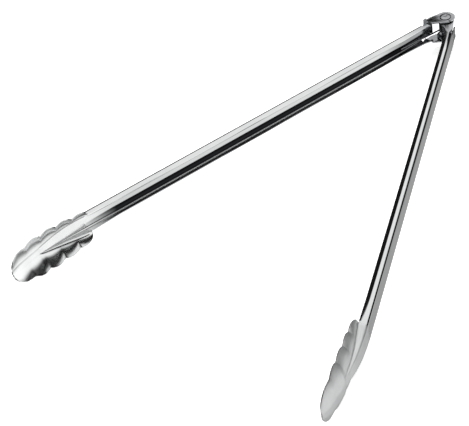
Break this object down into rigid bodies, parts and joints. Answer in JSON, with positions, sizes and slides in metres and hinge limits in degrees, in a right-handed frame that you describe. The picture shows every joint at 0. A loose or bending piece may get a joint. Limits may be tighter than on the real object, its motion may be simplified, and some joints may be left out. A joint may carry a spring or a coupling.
{
  "type": "sprung scoop tongs",
  "caption": "Long one-hand sprung tongs in pressed stainless sheet: channel arms on a rivet, with scalloped scoop jaws.",
  "frame": {"origin": "middle of the open tongs' footprint, on the surface they lie on", "axes": "+Z along the rivet, upwards; +Y from the scoops towards the hinge, along the middle line between the arms; +X towards the right arm"},
  "size_m": [0.3132, 0.4818, 0.0431],
  "materials": {
    "arm_sheet": "mirror-polished stainless sheet",
    "rivet_steel": "turned and formed stainless",
    "washer_steel": "stamped stainless washer",
    "spring_wire": "drawn spring wire"
  },
  "bodies": {
    "left": {"left_arm": "arm_sheet", "pivot_rivet": "rivet_steel", "rivet_washer": "washer_steel", "thrust_washer_top": "washer_steel", "thrust_washer_bottom": "washer_steel", "spacer_sleeve": "washer_steel", "torsion_spring": "spring_wire"},
    "right": {"right_arm": "arm_sheet"}
  },
  "joints": [
    {"name": "hinge", "type": "hinge", "parent": "left", "child": "right", "pos_m": [0, 0.23134, 0.02156], "axis": [0, 0, 1], "range_deg": [-35.9, 0], "stiffness_Nm_per_rad": 1.2, "springref_deg": 17.19, "deforming": ["torsion_spring"]}
  ]
}
